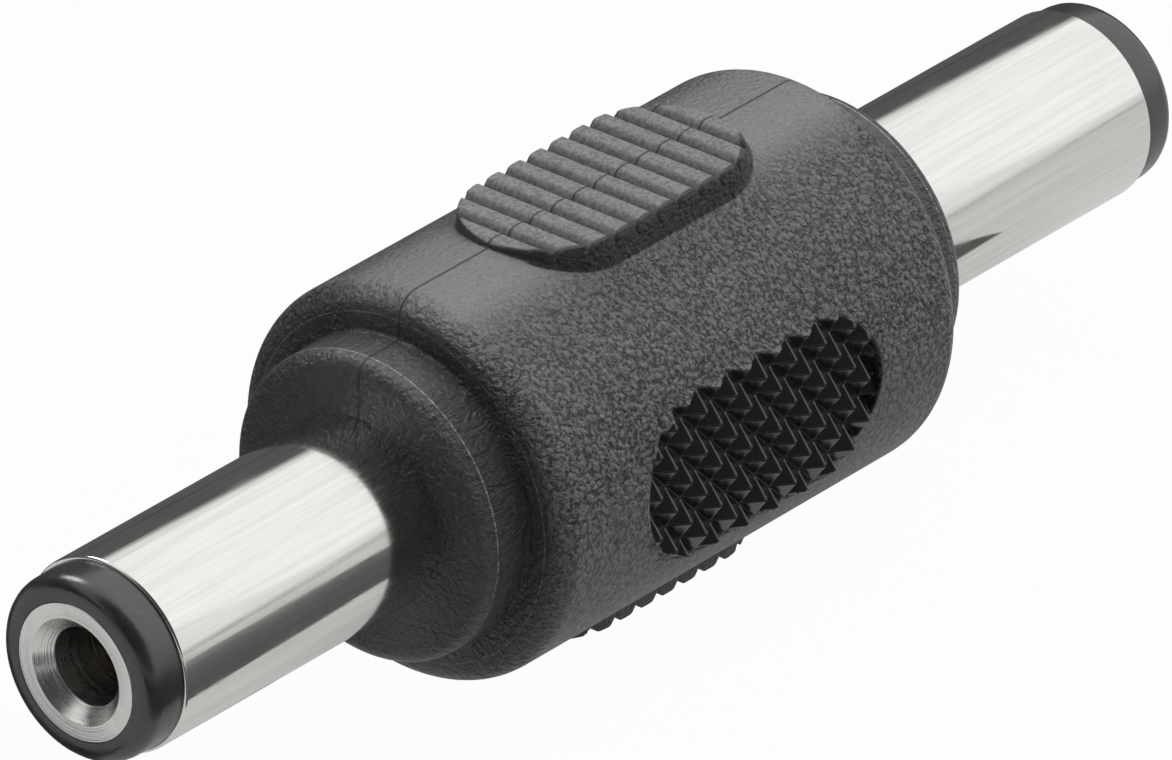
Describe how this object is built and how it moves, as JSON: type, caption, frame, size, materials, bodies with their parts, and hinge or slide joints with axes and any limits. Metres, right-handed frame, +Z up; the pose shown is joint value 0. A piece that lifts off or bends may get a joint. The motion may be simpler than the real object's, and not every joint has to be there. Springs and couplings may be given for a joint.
{
  "type": "dc barrel adapter",
  "caption": "Straight male to male adapter for round low-voltage power jacks, with an overmoulded grip.",
  "frame": {"origin": "on the common axis of both plugs, midway between the two noses", "axes": "+X along the rear plug, outwards; +Z up through the reeded top pad on the mould's parting line"},
  "size_m": [0.042, 0.0114, 0.0118],
  "materials": {
    "grip_pvc": "soft black moulding with a fine eroded grain",
    "nickel_plate": "bright nickel plate on a turned brass tube",
    "black_nylon": "satin black with light scuffs",
    "turned_nickel": "satin silver with fine turning rings",
    "spring_bronze": "bare rolled strip",
    "tinned_brass": "matt tin plate on stamped brass",
    "washer_fibre": "red-brown pressed fibre",
    "solder": "bright wetted solder",
    "tinned_copper": "tinned stranded conductor",
    "black_wire_pvc": "smooth extruded insulation",
    "red_wire_pvc": "smooth extruded insulation"
  },
  "bodies": {
    "root": {"grip": "grip_pvc", "front_sleeve": "nickel_plate", "front_insulator": "black_nylon", "front_centre_tube": "turned_nickel", "front_contact_fork": "spring_bronze", "front_rivet": "tinned_brass", "front_washer": "washer_fibre", "front_sleeve_tag": "tinned_brass", "front_centre_tag": "tinned_brass", "front_sleeve_solder": "solder", "front_centre_solder": "solder", "rear_sleeve": "nickel_plate", "rear_insulator": "black_nylon", "rear_centre_tube": "turned_nickel", "rear_contact_fork": "spring_bronze", "rear_rivet": "tinned_brass", "rear_washer": "washer_fibre", "rear_sleeve_tag": "tinned_brass", "rear_centre_tag": "tinned_brass", "rear_sleeve_solder": "solder", "rear_centre_solder": "solder", "sleeve_wire": "tinned_copper", "centre_wire": "tinned_copper", "sleeve_wire_insulation": "black_wire_pvc", "centre_wire_insulation": "red_wire_pvc"}
  },
  "joints": []
}
